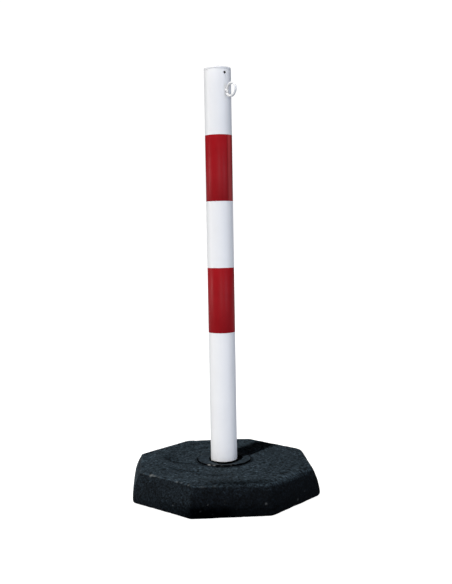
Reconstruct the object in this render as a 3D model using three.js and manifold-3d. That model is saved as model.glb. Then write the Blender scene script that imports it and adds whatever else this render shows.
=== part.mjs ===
// Plastic chain stanchion: a red and white banded plastic post that stands in
// a heavy octagonal rubber base, with a chain eye near its top.
//
// Millimetres, +Z up. The origin is the middle of the base's underside. The
// octagon's flats face +-X, +-Y and the diagonals.

import * as THREE from 'three';
import { mergeVertices } from 'three/addons/utils/BufferGeometryUtils.js';
import Module from 'manifold-3d';

// ---------------------------------------------------------------- dimensions

// Base block, recycled rubber
const BASE_HEIGHT = 67;          // floor to the top face
const BASE_FLATS_FOOT = 415;     // across flats, just above the floor
const BASE_FLATS_TOP = 381;      // across flats at the top edge, before rounding
const BASE_SWELL = 2.5;          // how far the sides belly out at half height
const BASE_CORNER_R = 18;        // rounding of the upright corners
const BASE_TOP_EDGE = 6;         // rounding of the top edge
const BASE_FOOT_EDGE = 9;        // rounding of the bottom edge
const BASE_BORE_R = 35;          // bore that holds the socket
const RING_RECESS_R = 55;        // recess under the block for the ring nut
const RING_RECESS_Z = 12.3;      // its ceiling
const POCKET_DEPTH = 3;          // eight shallow pockets under the block
const POCKET_INNER = 84;         // their inner and outer edges, from the axis
const POCKET_OUTER = 172;
const POCKET_RIB = 9;            // half width of the ribs between them

// Socket, black plastic
const COLLAR_R = 62;             // flange on top of the block
const COLLAR_THICK = 3;
const COLLAR_GAP = 0.1;          // between the flange and the rubber
const SOCKET_OUTER_R = 34.6;
const SOCKET_BORE_R = 31.2;
const SOCKET_BOTTOM = 3;
const SOCKET_FLOOR = 10;         // the post stands here
const SOCKET_FLOOR_THICK = 4;
const SOCKET_DRAIN_R = 7;
const RING_R = 51;               // ring nut that clamps the socket from below
const RING_BORE_R = 34.9;
const RING_BOTTOM = 3.5;
const RING_TOP = 12.1;
const RING_NOTCHES = 6;

// Post, rigid PVC tube
const TUBE_R = 30;
const TUBE_WALL = 2.8;
const BAND_LENGTH = 147;         // every red and white stretch
const POST_TOP = BASE_HEIGHT + 6 * BAND_LENGTH;
const CAP_HEAD = 5;
const TUBE_TOP = POST_TOP - CAP_HEAD - 0.1;
const TUBE_BOTTOM = 13.1;
const FILM = 0.22;               // reflective film of the red bands
const FILM_GAP = 0.03;

// Top cap
const CAP_EDGE = 3.6;            // rounding of its rim
const CAP_SKIRT_R = 26.9;
const CAP_SKIRT_WALL = 2.2;
const CAP_SKIRT = 22;

// Foot plug
const PLUG_FLANGE_R = 29.7;
const PLUG_FLANGE = 3;
const PLUG_SKIRT_R = 26.9;
const PLUG_SKIRT_WALL = 2.4;
const PLUG_SKIRT = 24;

// Chain eye: an open eye, bent once round from its shank so that its tip ends
// just below its root, and a chain link slips in between the two
const EYE_AZIMUTH = -54.5;       // degrees from +X
const EYE_DROP = 52.3;           // below the top of the post
const EYE_REACH = 47.7;          // axis of the post to the middle of the eye
const EYE_MID_R = 14.2;          // middle line of the wire
const EYE_WIRE = [5.6, 5.6];     // its section, along the eye's axis and across
const EYE_WIRE_EDGE = 2.79;      // rounding of that section
const EYE_START = 160;           // the wire's turn, in degrees from outward
const EYE_END = 514;
const EYE_OFFSET = 3;            // sideways travel of one full turn
const EYE_SHANK_R = 3;
const EYE_SHANK_END = 12;
const EYE_HOLE_R = 3.4;
const SADDLE_R = 9;
const SADDLE_FLAT = 22;
const WASHER = [20.3, 21.7];
const WASHER_R = 6;
const NUT = [15, 20];
const NUT_FLATS = 10;

// Pin hole above the eye, through the tube and the cap's skirt
const PIN_HOLE_AZIMUTH = -62.3;
const PIN_HOLE_DROP = 13;
const PIN_HOLE_R = 2.75;

const ROUND = 64;                // facets of the large round pieces

// ------------------------------------------------------------------- helpers

const wasm = await Module();
wasm.setup();

const rad = (d) => (d * Math.PI) / 180;

// Welds a geometry into a closed, outward-facing index mesh.
function weld(geometry) {
  const g = geometry.clone();
  for (const name of Object.keys(g.attributes)) if (name !== 'position') g.deleteAttribute(name);
  const m = mergeVertices(g, 1e-4);
  const p = m.getAttribute('position');
  const src = m.index ? Array.from(m.index.array) : [...Array(p.count).keys()];
  let tris = [];
  for (let i = 0; i < src.length; i += 3) {
    const [a, b, c] = [src[i], src[i + 1], src[i + 2]];
    if (a !== b && b !== c && c !== a) tris.push(a, b, c);
  }
  let volume = 0;
  const A = new THREE.Vector3(), B = new THREE.Vector3(), C = new THREE.Vector3();
  for (let i = 0; i < tris.length; i += 3) {
    A.fromBufferAttribute(p, tris[i]);
    B.fromBufferAttribute(p, tris[i + 1]);
    C.fromBufferAttribute(p, tris[i + 2]);
    volume += A.dot(B.cross(C));
  }
  if (volume < 0) {
    for (let i = 0; i < tris.length; i += 3) [tris[i + 1], tris[i + 2]] = [tris[i + 2], tris[i + 1]];
  }
  m.setIndex(tris);
  return m;
}

function solid(geometry) {
  const m = weld(geometry);
  return new wasm.Manifold(new wasm.Mesh({
    numProp: 3,
    vertProperties: new Float32Array(m.getAttribute('position').array),
    triVerts: new Uint32Array(m.index.array),
  }));
}

function surface(manifold) {
  const mesh = manifold.getMesh();
  const g = new THREE.BufferGeometry();
  g.setAttribute('position', new THREE.BufferAttribute(new Float32Array(mesh.vertProperties), 3));
  g.setIndex(Array.from(mesh.triVerts));
  g.computeVertexNormals();
  return g;
}

// Turns a profile of [radius, height] points about Z.
function lathe(points, segments = ROUND) {
  const g = new THREE.LatheGeometry(points.map(([r, z]) => new THREE.Vector2(r, z)), segments);
  g.rotateX(Math.PI / 2);
  return g;
}

// A pipe with square ends, as a profile that closes on itself.
const pipe = (ro, ri, z0, z1, segments = ROUND) =>
  lathe([[ri, z0], [ro, z0], [ro, z1], [ri, z1], [ri, z0]], segments);

// A plain round bar along X, from x0 to x1.
function barX(r, x0, x1, segments = 32) {
  const g = new THREE.CylinderGeometry(r, r, x1 - x0, segments);
  g.rotateZ(Math.PI / 2);
  g.translate((x0 + x1) / 2, 0, 0);
  return g;
}

// Points of a quarter round between two directions, as a quadratic curve.
function roundOff(from, corner, to, steps) {
  const curve = new THREE.QuadraticBezierCurve(
    new THREE.Vector2(...from), new THREE.Vector2(...corner), new THREE.Vector2(...to));
  return curve.getPoints(steps).map((p) => [p.x, p.y]);
}

function piece(name, geometry, colour, roughness, metalness = 0) {
  const mesh = new THREE.Mesh(
    geometry, new THREE.MeshStandardMaterial({ color: colour, roughness, metalness }));
  mesh.name = name;
  return mesh;
}

const RUBBER = 0x262b2f;
const BLACK_PLASTIC = 0x1d2023;
const WHITE = 0xebedef;
const RED = 0x9c1f25;
const ZINC = 0xa6a9ab;

// ---------------------------------------------------------------- base block

// An octagonal block is a turned profile whose circles are drawn out to
// octagons with rounded corners, except at its bore and recess.
const CORNER_STEPS = 5;
function baseBlock() {
  const foot = BASE_FLATS_FOOT / 2;
  const top = BASE_FLATS_TOP / 2;
  const slope = (foot - top) / (BASE_HEIGHT - BASE_FOOT_EDGE);
  const edge = BASE_TOP_EDGE;
  // The side, straight but for its swell, from the foot's rounding to the edge's.
  const side = (t) => [
    foot + (top + slope * edge - foot) * t + 4 * BASE_SWELL * t * (1 - t),
    BASE_FOOT_EDGE + (BASE_HEIGHT - BASE_FOOT_EDGE - edge) * t];
  const outer = [
    ...roundOff([foot - BASE_FOOT_EDGE, 0], [foot, 0], side(0), 4),
    side(0.25), side(0.5), side(0.75),
    ...roundOff(side(1), [top, BASE_HEIGHT], [top - edge, BASE_HEIGHT], 3),
  ];
  const inner = [
    [COLLAR_R + 8, BASE_HEIGHT],
    [BASE_BORE_R, BASE_HEIGHT],
    [BASE_BORE_R, RING_RECESS_Z],
    [RING_RECESS_R, RING_RECESS_Z],
    [RING_RECESS_R, 0],
  ];
  const loop = [...outer.map((p) => [...p, true]), ...inner.map((p) => [...p, false])];
  loop.push(loop[0]);
  const around = 8 * CORNER_STEPS;
  const g = new THREE.LatheGeometry(loop.map(([r, z]) => new THREE.Vector2(r, z)), around);
  const p = g.getAttribute('position');
  for (let j = 0; j <= around; j++) {
    const k = Math.floor((j % around) / CORNER_STEPS);
    const s = ((j % around) % CORNER_STEPS) / (CORNER_STEPS - 1) - 0.5;
    const corner = rad(22.5 + 45 * k);
    const turn = corner + s * rad(45);
    for (let i = 0; i < loop.length; i++) {
      const [r, z, octagonal] = loop[i];
      let x, y;
      if (octagonal) {
        const centre = (r - BASE_CORNER_R) / Math.cos(rad(22.5));
        x = centre * Math.cos(corner) + BASE_CORNER_R * Math.cos(turn);
        y = centre * Math.sin(corner) + BASE_CORNER_R * Math.sin(turn);
      } else {
        const even = rad((360 * (j % around)) / around + 22.5 - 22.5 * (CORNER_STEPS - 1) / CORNER_STEPS);
        x = r * Math.cos(even);
        y = r * Math.sin(even);
      }
      p.setXYZ(j * loop.length + i, x, y, z);
    }
  }
  let block = solid(g);
  for (let k = 0; k < 8; k++) {
    // A pocket behind each flat, with a rib left towards each corner.
    const half = (d) => d * Math.tan(rad(22.5)) - POCKET_RIB / Math.cos(rad(22.5));
    const shape = new THREE.Shape([
      new THREE.Vector2(POCKET_INNER, -half(POCKET_INNER)),
      new THREE.Vector2(POCKET_OUTER, -half(POCKET_OUTER)),
      new THREE.Vector2(POCKET_OUTER, half(POCKET_OUTER)),
      new THREE.Vector2(POCKET_INNER, half(POCKET_INNER)),
    ]);
    const pocket = new THREE.ExtrudeGeometry(shape, { depth: POCKET_DEPTH + 5, bevelEnabled: false });
    pocket.translate(0, 0, -5);
    pocket.rotateZ(rad(45 * k));
    block = block.subtract(solid(pocket));
  }
  return surface(block);
}

// -------------------------------------------------------------------- socket

function socketCollar() {
  const under = BASE_HEIGHT + COLLAR_GAP;
  const top = under + COLLAR_THICK;
  return lathe([
    [SOCKET_DRAIN_R, SOCKET_FLOOR - SOCKET_FLOOR_THICK],
    [SOCKET_BORE_R, SOCKET_FLOOR - SOCKET_FLOOR_THICK],
    [SOCKET_BORE_R + 1, SOCKET_BOTTOM],
    [SOCKET_OUTER_R, SOCKET_BOTTOM],
    [SOCKET_OUTER_R, under],
    [COLLAR_R, under],
    [COLLAR_R, top - 1.2],
    [COLLAR_R - 1.2, top],
    [SOCKET_BORE_R + 1.8, top],
    [SOCKET_BORE_R, top - 2.4],
    [SOCKET_BORE_R, SOCKET_FLOOR],
    [SOCKET_DRAIN_R, SOCKET_FLOOR],
    [SOCKET_DRAIN_R, SOCKET_FLOOR - SOCKET_FLOOR_THICK],
  ]);
}

function socketRing() {
  let ring = solid(lathe([
    [RING_BORE_R, RING_BOTTOM], [RING_R - 1.5, RING_BOTTOM], [RING_R, RING_BOTTOM + 1.5],
    [RING_R, RING_TOP], [RING_BORE_R, RING_TOP], [RING_BORE_R, RING_BOTTOM],
  ]));
  for (let k = 0; k < RING_NOTCHES; k++) {
    const notch = new THREE.BoxGeometry(10, 9, 12);
    notch.translate(RING_R + 0.5, 0, RING_BOTTOM + 1);
    notch.rotateZ(rad((360 * k) / RING_NOTCHES + 15));
    ring = ring.subtract(solid(notch));
  }
  return surface(ring);
}

// ---------------------------------------------------------------------- post

const eyeHeight = POST_TOP - EYE_DROP;
const pinHeight = POST_TOP - PIN_HOLE_DROP;

// A bar through one wall of the post.
function crossHole(r, azimuth, height, segments) {
  const g = barX(r, 18, 42, segments);
  g.rotateZ(rad(azimuth));
  g.translate(0, 0, height);
  return solid(g);
}
const eyeHole = () => crossHole(EYE_HOLE_R, EYE_AZIMUTH, eyeHeight, 24);
const pinHole = () => crossHole(PIN_HOLE_R, PIN_HOLE_AZIMUTH, pinHeight, 20);

function postTube() {
  return surface(
    solid(pipe(TUBE_R, TUBE_R - TUBE_WALL, TUBE_BOTTOM, TUBE_TOP))
      .subtract(eyeHole())
      .subtract(pinHole()));
}

function topCap() {
  const under = POST_TOP - CAP_HEAD;
  const skirtIn = CAP_SKIRT_R - CAP_SKIRT_WALL;
  const profile = [
    [0, under + 1.6],
    [skirtIn, under + 1.6],
    [skirtIn, under - CAP_SKIRT],
    [CAP_SKIRT_R - 0.8, under - CAP_SKIRT],
    [CAP_SKIRT_R, under - CAP_SKIRT + 2],
    [CAP_SKIRT_R, under],
    [TUBE_R, under],
    ...roundOff([TUBE_R, POST_TOP - CAP_EDGE], [TUBE_R, POST_TOP], [TUBE_R - CAP_EDGE, POST_TOP], 3),
    [0, POST_TOP],
  ];
  return surface(solid(lathe(profile)).subtract(pinHole()));
}

function footPlug() {
  const base = SOCKET_FLOOR;
  const shoulder = base + PLUG_FLANGE;
  const skirtIn = PLUG_SKIRT_R - PLUG_SKIRT_WALL;
  return lathe([
    [0, base], [PLUG_FLANGE_R - 1, base], [PLUG_FLANGE_R, base + 1], [PLUG_FLANGE_R, shoulder],
    [PLUG_SKIRT_R, shoulder], [PLUG_SKIRT_R, shoulder + PLUG_SKIRT - 2],
    [PLUG_SKIRT_R - 1, shoulder + PLUG_SKIRT], [skirtIn, shoulder + PLUG_SKIRT],
    [skirtIn, shoulder], [0, shoulder],
  ]);
}

const band = (z0) => pipe(TUBE_R + FILM_GAP + FILM, TUBE_R + FILM_GAP, z0, z0 + BAND_LENGTH);

// ----------------------------------------------------------------- chain eye

// Everything here is drawn with the post's axis at x = 0 and the shank along X.

// Middle line of the wire, one turn of a flat spiral about the Y axis.
class EyeCurve extends THREE.Curve {
  getPoint(t, target = new THREE.Vector3()) {
    const turn = EYE_START + (EYE_END - EYE_START) * t;
    return target.set(
      EYE_REACH + EYE_MID_R * Math.cos(rad(turn)),
      -EYE_OFFSET * Math.min(1, Math.max(0, (turn - 180) / 360)),
      -EYE_MID_R * Math.sin(rad(turn)));
  }
}

function roundedRect(w, h, r) {
  const s = new THREE.Shape();
  s.moveTo(-w / 2 + r, -h / 2);
  s.lineTo(w / 2 - r, -h / 2);
  s.quadraticCurveTo(w / 2, -h / 2, w / 2, -h / 2 + r);
  s.lineTo(w / 2, h / 2 - r);
  s.quadraticCurveTo(w / 2, h / 2, w / 2 - r, h / 2);
  s.lineTo(-w / 2 + r, h / 2);
  s.quadraticCurveTo(-w / 2, h / 2, -w / 2, h / 2 - r);
  s.lineTo(-w / 2, -h / 2 + r);
  s.quadraticCurveTo(-w / 2, -h / 2, -w / 2 + r, -h / 2);
  return s;
}

function chainEye() {
  const wire = new THREE.ExtrudeGeometry(roundedRect(...EYE_WIRE, EYE_WIRE_EDGE), {
    extrudePath: new EyeCurve(), steps: 44, curveSegments: 4, bevelEnabled: false,
  });
  const root = EYE_REACH - EYE_MID_R;
  return surface(
    solid(wire).add(solid(barX(EYE_SHANK_R, EYE_SHANK_END, root + 0.5, 24))));
}

function eyeSaddle() {
  const tubeInside = solid(lathe([
    [0, -20], [TUBE_R - TUBE_WALL - 0.3, -20], [TUBE_R - TUBE_WALL - 0.3, 20], [0, 20],
  ], 96));
  return surface(
    solid(barX(SADDLE_R, SADDLE_FLAT, 32, 40))
      .intersect(tubeInside)
      .subtract(solid(barX(EYE_HOLE_R, 15, 40, 24))));
}

const eyeWasher = () =>
  surface(solid(barX(WASHER_R, ...WASHER)).subtract(solid(barX(EYE_HOLE_R, 10, 30, 24))));

function eyeNut() {
  const hex = barX(NUT_FLATS / 2 / Math.cos(Math.PI / 6), NUT[0], NUT[1], 6);
  return surface(solid(hex).subtract(solid(barX(EYE_SHANK_R + 0.3, 5, 30, 24))));
}

// ------------------------------------------------------------------ assembly

const stanchion = new THREE.Group();
stanchion.name = 'chain_stanchion';

stanchion.add(piece('base_block', baseBlock(), RUBBER, 0.85));
stanchion.add(piece('socket_collar', socketCollar(), BLACK_PLASTIC, 0.45));
stanchion.add(piece('socket_ring', socketRing(), BLACK_PLASTIC, 0.5));

const post = new THREE.Group();
post.add(piece('post_tube', postTube(), WHITE, 0.3));
post.add(piece('foot_plug', footPlug(), BLACK_PLASTIC, 0.55));
post.add(piece('red_band_lower', band(BASE_HEIGHT + 2 * BAND_LENGTH), RED, 0.3));
post.add(piece('red_band_upper', band(BASE_HEIGHT + 4 * BAND_LENGTH), RED, 0.3));
post.add(piece('top_cap', topCap(), WHITE, 0.35));

const eyeLine = new THREE.Group();
eyeLine.position.z = eyeHeight;
eyeLine.rotation.z = rad(EYE_AZIMUTH);
eyeLine.add(piece('eye_saddle', eyeSaddle(), BLACK_PLASTIC, 0.55));
const swivel = new THREE.Group();
swivel.add(piece('chain_eye', chainEye(), WHITE, 0.35));
swivel.add(piece('eye_washer', eyeWasher(), ZINC, 0.4, 0.9));
swivel.add(piece('eye_nut', eyeNut(), ZINC, 0.4, 0.9));
eyeLine.add(swivel);
post.add(eyeLine);

stanchion.add(post);
stanchion.updateMatrixWorld(true);

export default stanchion;
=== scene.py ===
# Looks of the plastic chain stanchion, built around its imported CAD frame.
# Metres, +Z up, the CAD's own frame. Sizes in the helpers are in millimetres
# where a name ends in _mm, and everything is seeded, so each run is the same.
import math
import bmesh
import bpy
import numpy as np
from mathutils import Matrix, Vector


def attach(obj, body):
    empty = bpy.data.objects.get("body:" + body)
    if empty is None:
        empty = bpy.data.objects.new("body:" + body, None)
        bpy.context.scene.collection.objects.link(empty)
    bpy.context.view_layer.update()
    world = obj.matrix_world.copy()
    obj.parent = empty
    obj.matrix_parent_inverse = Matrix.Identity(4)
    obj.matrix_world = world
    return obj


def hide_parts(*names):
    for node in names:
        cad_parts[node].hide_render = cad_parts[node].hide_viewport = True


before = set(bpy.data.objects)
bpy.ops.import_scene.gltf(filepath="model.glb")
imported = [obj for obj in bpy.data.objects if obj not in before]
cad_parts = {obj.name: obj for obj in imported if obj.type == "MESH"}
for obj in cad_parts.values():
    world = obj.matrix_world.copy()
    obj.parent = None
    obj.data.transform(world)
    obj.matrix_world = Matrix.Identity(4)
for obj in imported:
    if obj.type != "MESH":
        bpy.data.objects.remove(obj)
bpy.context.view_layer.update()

MM = 0.001
SKY_PEAK, SKY_TINT = 0.9, (0.93, 0.97, 1.02)
SKY = ((-1.0, 0.12), (-0.35, 0.20), (-0.16, 0.80), (0.03, 0.80), (0.11, 0.008), (1.0, 0.006))
KEY, FLOOR_GLOW = 3.15, 1.0
POST_TOP = 949.0
EYE_AZ, EYE_Z = -54.5, 896.7
PIN_AZ, PIN_Z, PIN_R = -62.3, 936.0, 2.75
TUBE_TOP = 943.9
scene = bpy.context.scene


def radians(a):
    return a * math.pi / 180.0


# --------------------------------------------------------------------- camera
# A long, slightly raised view, looking down by 4 degrees.

camera_data = bpy.data.cameras.new("camera")
camera_data.sensor_fit = "AUTO"
camera_data.sensor_width = 36.0
camera_data.lens = 51.07
camera_data.clip_start = 0.05
camera_data.clip_end = 60.0
camera = bpy.data.objects.new("camera", camera_data)
scene.collection.objects.link(camera)
VIEW = 4.074          # degrees from square on, round the post
heading, pitch, roll = radians(VIEW + 0.332), radians(4.078), radians(-0.981)
DISTANCE, EYE_LEVEL = 1.8683, 0.5849
forward = Vector((math.sin(heading) * math.cos(pitch),
                  math.cos(heading) * math.cos(pitch), -math.sin(pitch)))
right = Vector((math.cos(heading), -math.sin(heading), 0.0))
up = right.cross(forward)
right_r = right * math.cos(roll) + up * math.sin(roll)
up_r = up * math.cos(roll) - right * math.sin(roll)
camera.matrix_world = Matrix((
    (right_r.x, up_r.x, -forward.x, -DISTANCE * math.sin(radians(VIEW))),
    (right_r.y, up_r.y, -forward.y, -DISTANCE * math.cos(radians(VIEW))),
    (right_r.z, up_r.z, -forward.z, EYE_LEVEL),
    (0.0, 0.0, 0.0, 1.0)))
scene.camera = camera

# ------------------------------------------------------------------ mesh tools


def hash01(ix, iy, iz, seed):
    n = (ix * 73856093) ^ (iy * 19349663) ^ (iz * 83492791) ^ (seed * 374761393)
    n = n & 0xFFFFFFFF
    n = ((n ^ (n >> 13)) * 1274126177) & 0xFFFFFFFF
    n = ((n ^ (n >> 16)) * 2246822519) & 0xFFFFFFFF
    n = n ^ (n >> 13)
    return (n & 0xFFFFFF).astype(np.float64) / 0xFFFFFF


def noise3(p, seed=0):
    """Smooth lattice noise of points p (..., 3), from -1 to 1."""
    base = np.floor(p).astype(np.int64)
    f = p - base
    f = f * f * f * (f * (f * 6 - 15) + 10)
    total = 0.0
    for dx in (0, 1):
        wx = f[..., 0] if dx else 1 - f[..., 0]
        for dy in (0, 1):
            wy = f[..., 1] if dy else 1 - f[..., 1]
            for dz in (0, 1):
                wz = f[..., 2] if dz else 1 - f[..., 2]
                total = total + wx * wy * wz * hash01(
                    base[..., 0] + dx, base[..., 1] + dy, base[..., 2] + dz, seed)
    return total * 2 - 1


def fbm(p, octaves=3, seed=0, gain=0.5):
    total, amp, norm = 0.0, 1.0, 0.0
    for o in range(octaves):
        total = total + amp * noise3(p * (2.03 ** o) + 17.3 * o, seed + o)
        norm += amp
        amp *= gain
    return total / norm


def cells3(p, seed=0):
    """Distance to the nearest of a jittered lattice of points, in cells."""
    base = np.floor(p).astype(np.int64)
    best = np.full(p.shape[:-1], 9.0)
    for dx in (-1, 0, 1):
        for dy in (-1, 0, 1):
            for dz in (-1, 0, 1):
                c = base + np.array([dx, dy, dz])
                q = np.stack([c[..., i] + hash01(c[..., 0], c[..., 1], c[..., 2], seed + 11 * i)
                              for i in range(3)], -1)
                best = np.minimum(best, ((p - q) ** 2).sum(-1))
    return np.sqrt(best)


def smooth(a, b, x):
    t = np.clip((x - a) / (b - a), 0, 1)
    return t * t * (3 - 2 * t)


def new_object(name, mesh):
    obj = bpy.data.objects.new(name, mesh)
    scene.collection.objects.link(obj)
    return obj


def volume_of(verts, faces):
    total = 0.0
    for f in faces:
        a = verts[f[0]]
        for i in range(1, len(f) - 1):
            b, c = verts[f[i]], verts[f[i + 1]]
            total += (a[0] * (b[1] * c[2] - b[2] * c[1])
                      - a[1] * (b[0] * c[2] - b[2] * c[0])
                      + a[2] * (b[0] * c[1] - b[1] * c[0]))
    return total


def grid_mesh(name, points, close_rows=True, cap_rows=False, attributes=None):
    """points (rows, columns, 3) in metres. The columns always close on
    themselves; the rows close too, or end in caps, or end on an axis."""
    rows, cols = points.shape[:2]
    verts = points.reshape(-1, 3)
    index = np.arange(rows * cols).reshape(rows, cols)
    nxt = np.roll(index, -1, axis=1)
    last = rows if close_rows else rows - 1
    faces = []
    for i in range(last):
        a, b = index[i], index[(i + 1) % rows]
        an, bn = nxt[i], nxt[(i + 1) % rows]
        faces.extend(np.stack([a, an, bn, b], 1).tolist())
    if cap_rows:
        faces.append(index[0][::-1].tolist())
        faces.append(index[-1].tolist())
    if volume_of(verts, faces) < 0:
        faces = [f[::-1] for f in faces]
    mesh = bpy.data.meshes.new(name)
    mesh.from_pydata(verts.tolist(), [], faces)
    for key, values in (attributes or {}).items():
        mesh.attributes.new(key, "FLOAT", "POINT").data.foreach_set(
            "value", values.reshape(-1).astype(np.float32))
    return new_object(name, mesh)


def tidy(obj, angle=35.0, weld=1e-7):
    """Welds the poles, drops what has no area, and shades the mesh smooth
    except across its real edges."""
    bm = bmesh.new()
    bm.from_mesh(obj.data)
    bmesh.ops.remove_doubles(bm, verts=bm.verts, dist=weld)
    bmesh.ops.dissolve_degenerate(bm, dist=1e-8, edges=bm.edges)
    bm.to_mesh(obj.data)
    bm.free()
    obj.data.shade_smooth()
    obj.data.set_sharp_from_angle(angle=radians(angle))
    return obj


def bake(obj):
    """Applies the object's modifiers."""
    graph = bpy.context.evaluated_depsgraph_get()
    mesh = bpy.data.meshes.new_from_object(obj.evaluated_get(graph))
    obj.modifiers.clear()
    obj.data = mesh
    return obj


def cut(obj, cutter, operation="DIFFERENCE"):
    m = obj.modifiers.new("cut", "BOOLEAN")
    m.operation, m.object, m.solver = operation, cutter, "EXACT"
    bake(obj)
    bpy.data.objects.remove(cutter)
    return obj


def fillet(points, closed=True, steps=5):
    """Rounds the corners of a profile. points are (r, z, radius) in mm."""
    out = []
    n = len(points)
    for i, (r, z, rad_) in enumerate(points):
        p = np.array([r, z], float)
        if rad_ <= 0 or (not closed and i in (0, n - 1)):
            out.append(tuple(p))
            continue
        a = np.array(points[i - 1][:2], float) - p
        b = np.array(points[(i + 1) % n][:2], float) - p
        la, lb = np.linalg.norm(a), np.linalg.norm(b)
        ua, ub = a / la, b / lb
        half = math.acos(max(-1.0, min(1.0, float(ua @ ub)))) / 2
        if half > radians(89):
            out.append(tuple(p))
            continue
        run = min(rad_ / math.tan(half), la * 0.49, lb * 0.49)
        rr = run * math.tan(half)
        centre = p + (ua + ub) / np.linalg.norm(ua + ub) * (rr / math.sin(half))
        s, e = p + ua * run - centre, p + ub * run - centre
        for k in range(steps + 1):
            t = k / steps
            v = s * (1 - t) + e * t
            out.append(tuple(centre + v / np.linalg.norm(v) * rr))
    return out


def turned(name, profile, segments=128, closed=True, phase=0.0):
    """Turns a profile of (r, z) in mm about Z. An open one starts and ends
    on the axis."""
    prof = np.array(profile, float) * MM
    a = (np.arange(segments) + phase) * 2 * math.pi / segments
    pts = np.stack([prof[:, None, 0] * np.cos(a), prof[:, None, 0] * np.sin(a),
                    np.repeat(prof[:, 1:2], segments, 1)], -1)
    return grid_mesh(name, pts, close_rows=closed)


def bar_x(name, profile, segments=64):
    """Turns a profile of (x, r) in mm about X."""
    prof = np.array(profile, float) * MM
    a = np.arange(segments) * 2 * math.pi / segments
    pts = np.stack([np.repeat(prof[:, 0:1], segments, 1),
                    prof[:, None, 1] * np.cos(a), prof[:, None, 1] * np.sin(a)], -1)
    return grid_mesh(name, pts, close_rows=False)


def place(obj, azimuth, height_mm):
    obj.data.transform(Matrix.Translation((0, 0, height_mm * MM))
                       @ Matrix.Rotation(radians(azimuth), 4, "Z"))
    return obj


# ------------------------------------------------------------------ materials


class Material:
    def __init__(self, name):
        self.mat = bpy.data.materials.new(name)
        self.mat.use_nodes = True
        self.tree = self.mat.node_tree
        self.tree.nodes.clear()
        self.out = self.tree.nodes.new("ShaderNodeOutputMaterial")
        self.shader = self.tree.nodes.new("ShaderNodeBsdfPrincipled")
        self.tree.links.new(self.shader.outputs[0], self.out.inputs[0])
        self.coords = self.tree.nodes.new("ShaderNodeTexCoord").outputs["Object"]

    def link(self, a, b):
        self.tree.links.new(a, b)

    def feed(self, socket, value):
        if isinstance(value, bpy.types.NodeSocket):
            self.link(value, socket)
        elif value is not None:
            socket.default_value = value

    def stretch(self, scale):
        n = self.tree.nodes.new("ShaderNodeMapping")
        n.inputs["Scale"].default_value = scale
        self.link(self.coords, n.inputs["Vector"])
        return n.outputs[0]

    def noise(self, scale, detail=3.0, rough=0.5, vector=None, distortion=0.0):
        n = self.tree.nodes.new("ShaderNodeTexNoise")
        self.link(vector or self.coords, n.inputs["Vector"])
        n.inputs["Scale"].default_value = scale
        n.inputs["Detail"].default_value = detail
        n.inputs["Roughness"].default_value = rough
        n.inputs["Distortion"].default_value = distortion
        return n.outputs["Fac"]

    def cells(self, scale, feature="F1", output="Distance", vector=None, randomness=1.0):
        n = self.tree.nodes.new("ShaderNodeTexVoronoi")
        n.feature = feature
        self.link(vector or self.coords, n.inputs["Vector"])
        n.inputs["Scale"].default_value = scale
        n.inputs["Randomness"].default_value = randomness
        return n.outputs[output]

    def math(self, op, a, b=None, c=None, clamp=False):
        n = self.tree.nodes.new("ShaderNodeMath")
        n.operation, n.use_clamp = op, clamp
        for i, v in enumerate((a, b, c)):
            self.feed(n.inputs[i], v)
        return n.outputs[0]

    def remap(self, value, a, b, c=0.0, d=1.0, style="SMOOTHSTEP"):
        n = self.tree.nodes.new("ShaderNodeMapRange")
        n.interpolation_type = style
        self.feed(n.inputs["Value"], value)
        for key, v in (("From Min", a), ("From Max", b), ("To Min", c), ("To Max", d)):
            n.inputs[key].default_value = v
        return n.outputs["Result"]

    def mix(self, factor, a, b, blend="MIX"):
        n = self.tree.nodes.new("ShaderNodeMix")
        n.data_type, n.blend_type = "RGBA", blend
        self.feed(n.inputs["Factor"], factor)
        for socket, v in ((n.inputs[6], a), (n.inputs[7], b)):
            self.feed(socket, (*v, 1.0) if isinstance(v, tuple) else v)
        return n.outputs[2]

    def split(self, vector, axis):
        n = self.tree.nodes.new("ShaderNodeSeparateXYZ")
        self.link(vector, n.inputs[0])
        return n.outputs[axis]

    def red_of(self, colour):
        n = self.tree.nodes.new("ShaderNodeSeparateColor")
        self.link(colour, n.inputs[0])
        return n.outputs[0]

    def attribute(self, name):
        n = self.tree.nodes.new("ShaderNodeAttribute")
        n.attribute_name = name
        return n.outputs["Fac"]

    def normal_z(self):
        n = self.tree.nodes.new("ShaderNodeNewGeometry")
        return self.split(n.outputs["Normal"], 2)

    def normal_x(self):
        n = self.tree.nodes.new("ShaderNodeNewGeometry")
        return self.split(n.outputs["Normal"], 0)

    def bump(self, height, distance, strength=1.0, under=None):
        n = self.tree.nodes.new("ShaderNodeBump")
        n.inputs["Strength"].default_value = strength
        n.inputs["Distance"].default_value = distance
        self.link(height, n.inputs["Height"])
        if under is not None:
            self.link(under, n.inputs["Normal"])
        return n.outputs[0]

    def done(self, colour, roughness, normal=None, **constants):
        self.feed(self.shader.inputs["Base Color"],
                  (*colour, 1.0) if isinstance(colour, tuple) else colour)
        self.feed(self.shader.inputs["Roughness"], roughness)
        if normal is not None:
            self.link(normal, self.shader.inputs["Normal"])
        for key, v in constants.items():
            self.shader.inputs[key.replace("_", " ")].default_value = v
        return self.mat


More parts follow.
